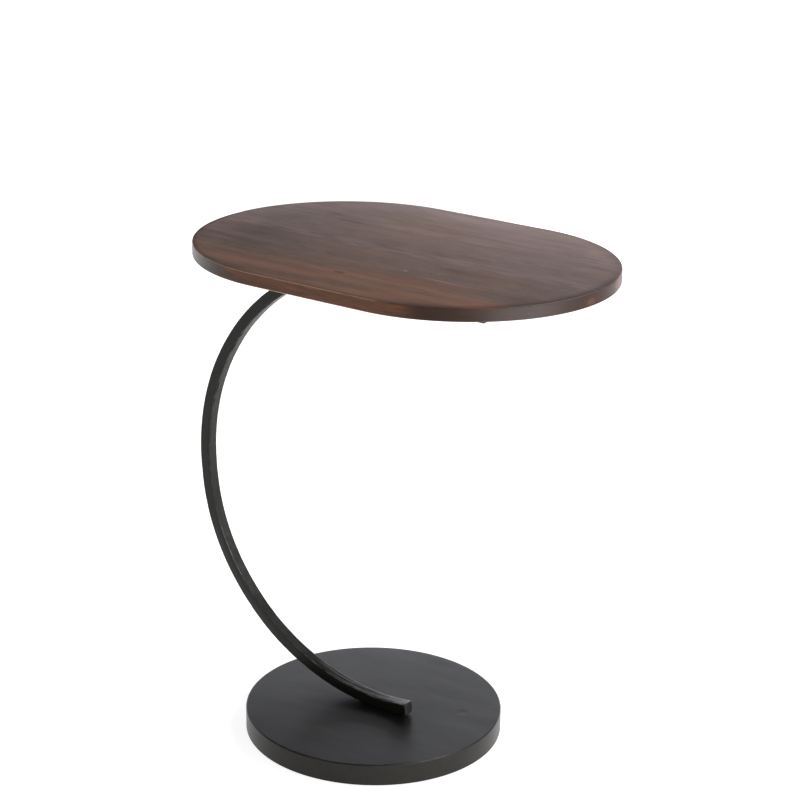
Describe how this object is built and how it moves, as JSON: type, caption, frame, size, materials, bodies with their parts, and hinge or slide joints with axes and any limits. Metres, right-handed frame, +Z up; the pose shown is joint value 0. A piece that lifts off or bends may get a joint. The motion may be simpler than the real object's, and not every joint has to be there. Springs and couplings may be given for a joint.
{
  "type": "c shaped side table",
  "caption": "Side table with a stadium shaped wood top on a C shaped arm of black square bar that stands on a weighted round base.",
  "frame": {"origin": "on the floor, at the centre of the round base's underside", "axes": "+Z up; +X from the closed side of the C to its open side, along the top's long axis; +Y across the table, from the front stave to the back stave"},
  "size_m": [0.5593, 0.364, 0.61],
  "materials": {
    "wood_red": "satin clear coat over red-brown stain",
    "wood_dark": "satin clear coat over dark walnut stain",
    "wood_brown": "satin clear coat over walnut stain",
    "black_bar": "slightly rough black powder coat on rolled bar",
    "black_steel": "satin black powder coat on flat bar and sheet",
    "cast_iron": "as cast, primed",
    "zinc_steel": "bright zinc plating",
    "rubber_pad": "matt non-slip rubber"
  },
  "bodies": {
    "root": {"stave_front": "wood_red", "stave_mid_front": "wood_dark", "stave_mid_back": "wood_brown", "stave_back": "wood_brown", "cleat_left": "black_steel", "cleat_right": "black_steel", "spine": "black_steel", "c_arm": "black_bar", "base_cover": "black_steel", "ballast": "cast_iron", "bottom_plate": "black_steel", "floor_pad": "rubber_pad", "arm_bolts": "zinc_steel", "lock_washers": "zinc_steel", "washers": "zinc_steel", "spine_screws": "zinc_steel", "cleat_screws_left": "zinc_steel", "cleat_screws_right": "zinc_steel", "plate_screws": "zinc_steel"}
  },
  "joints": []
}
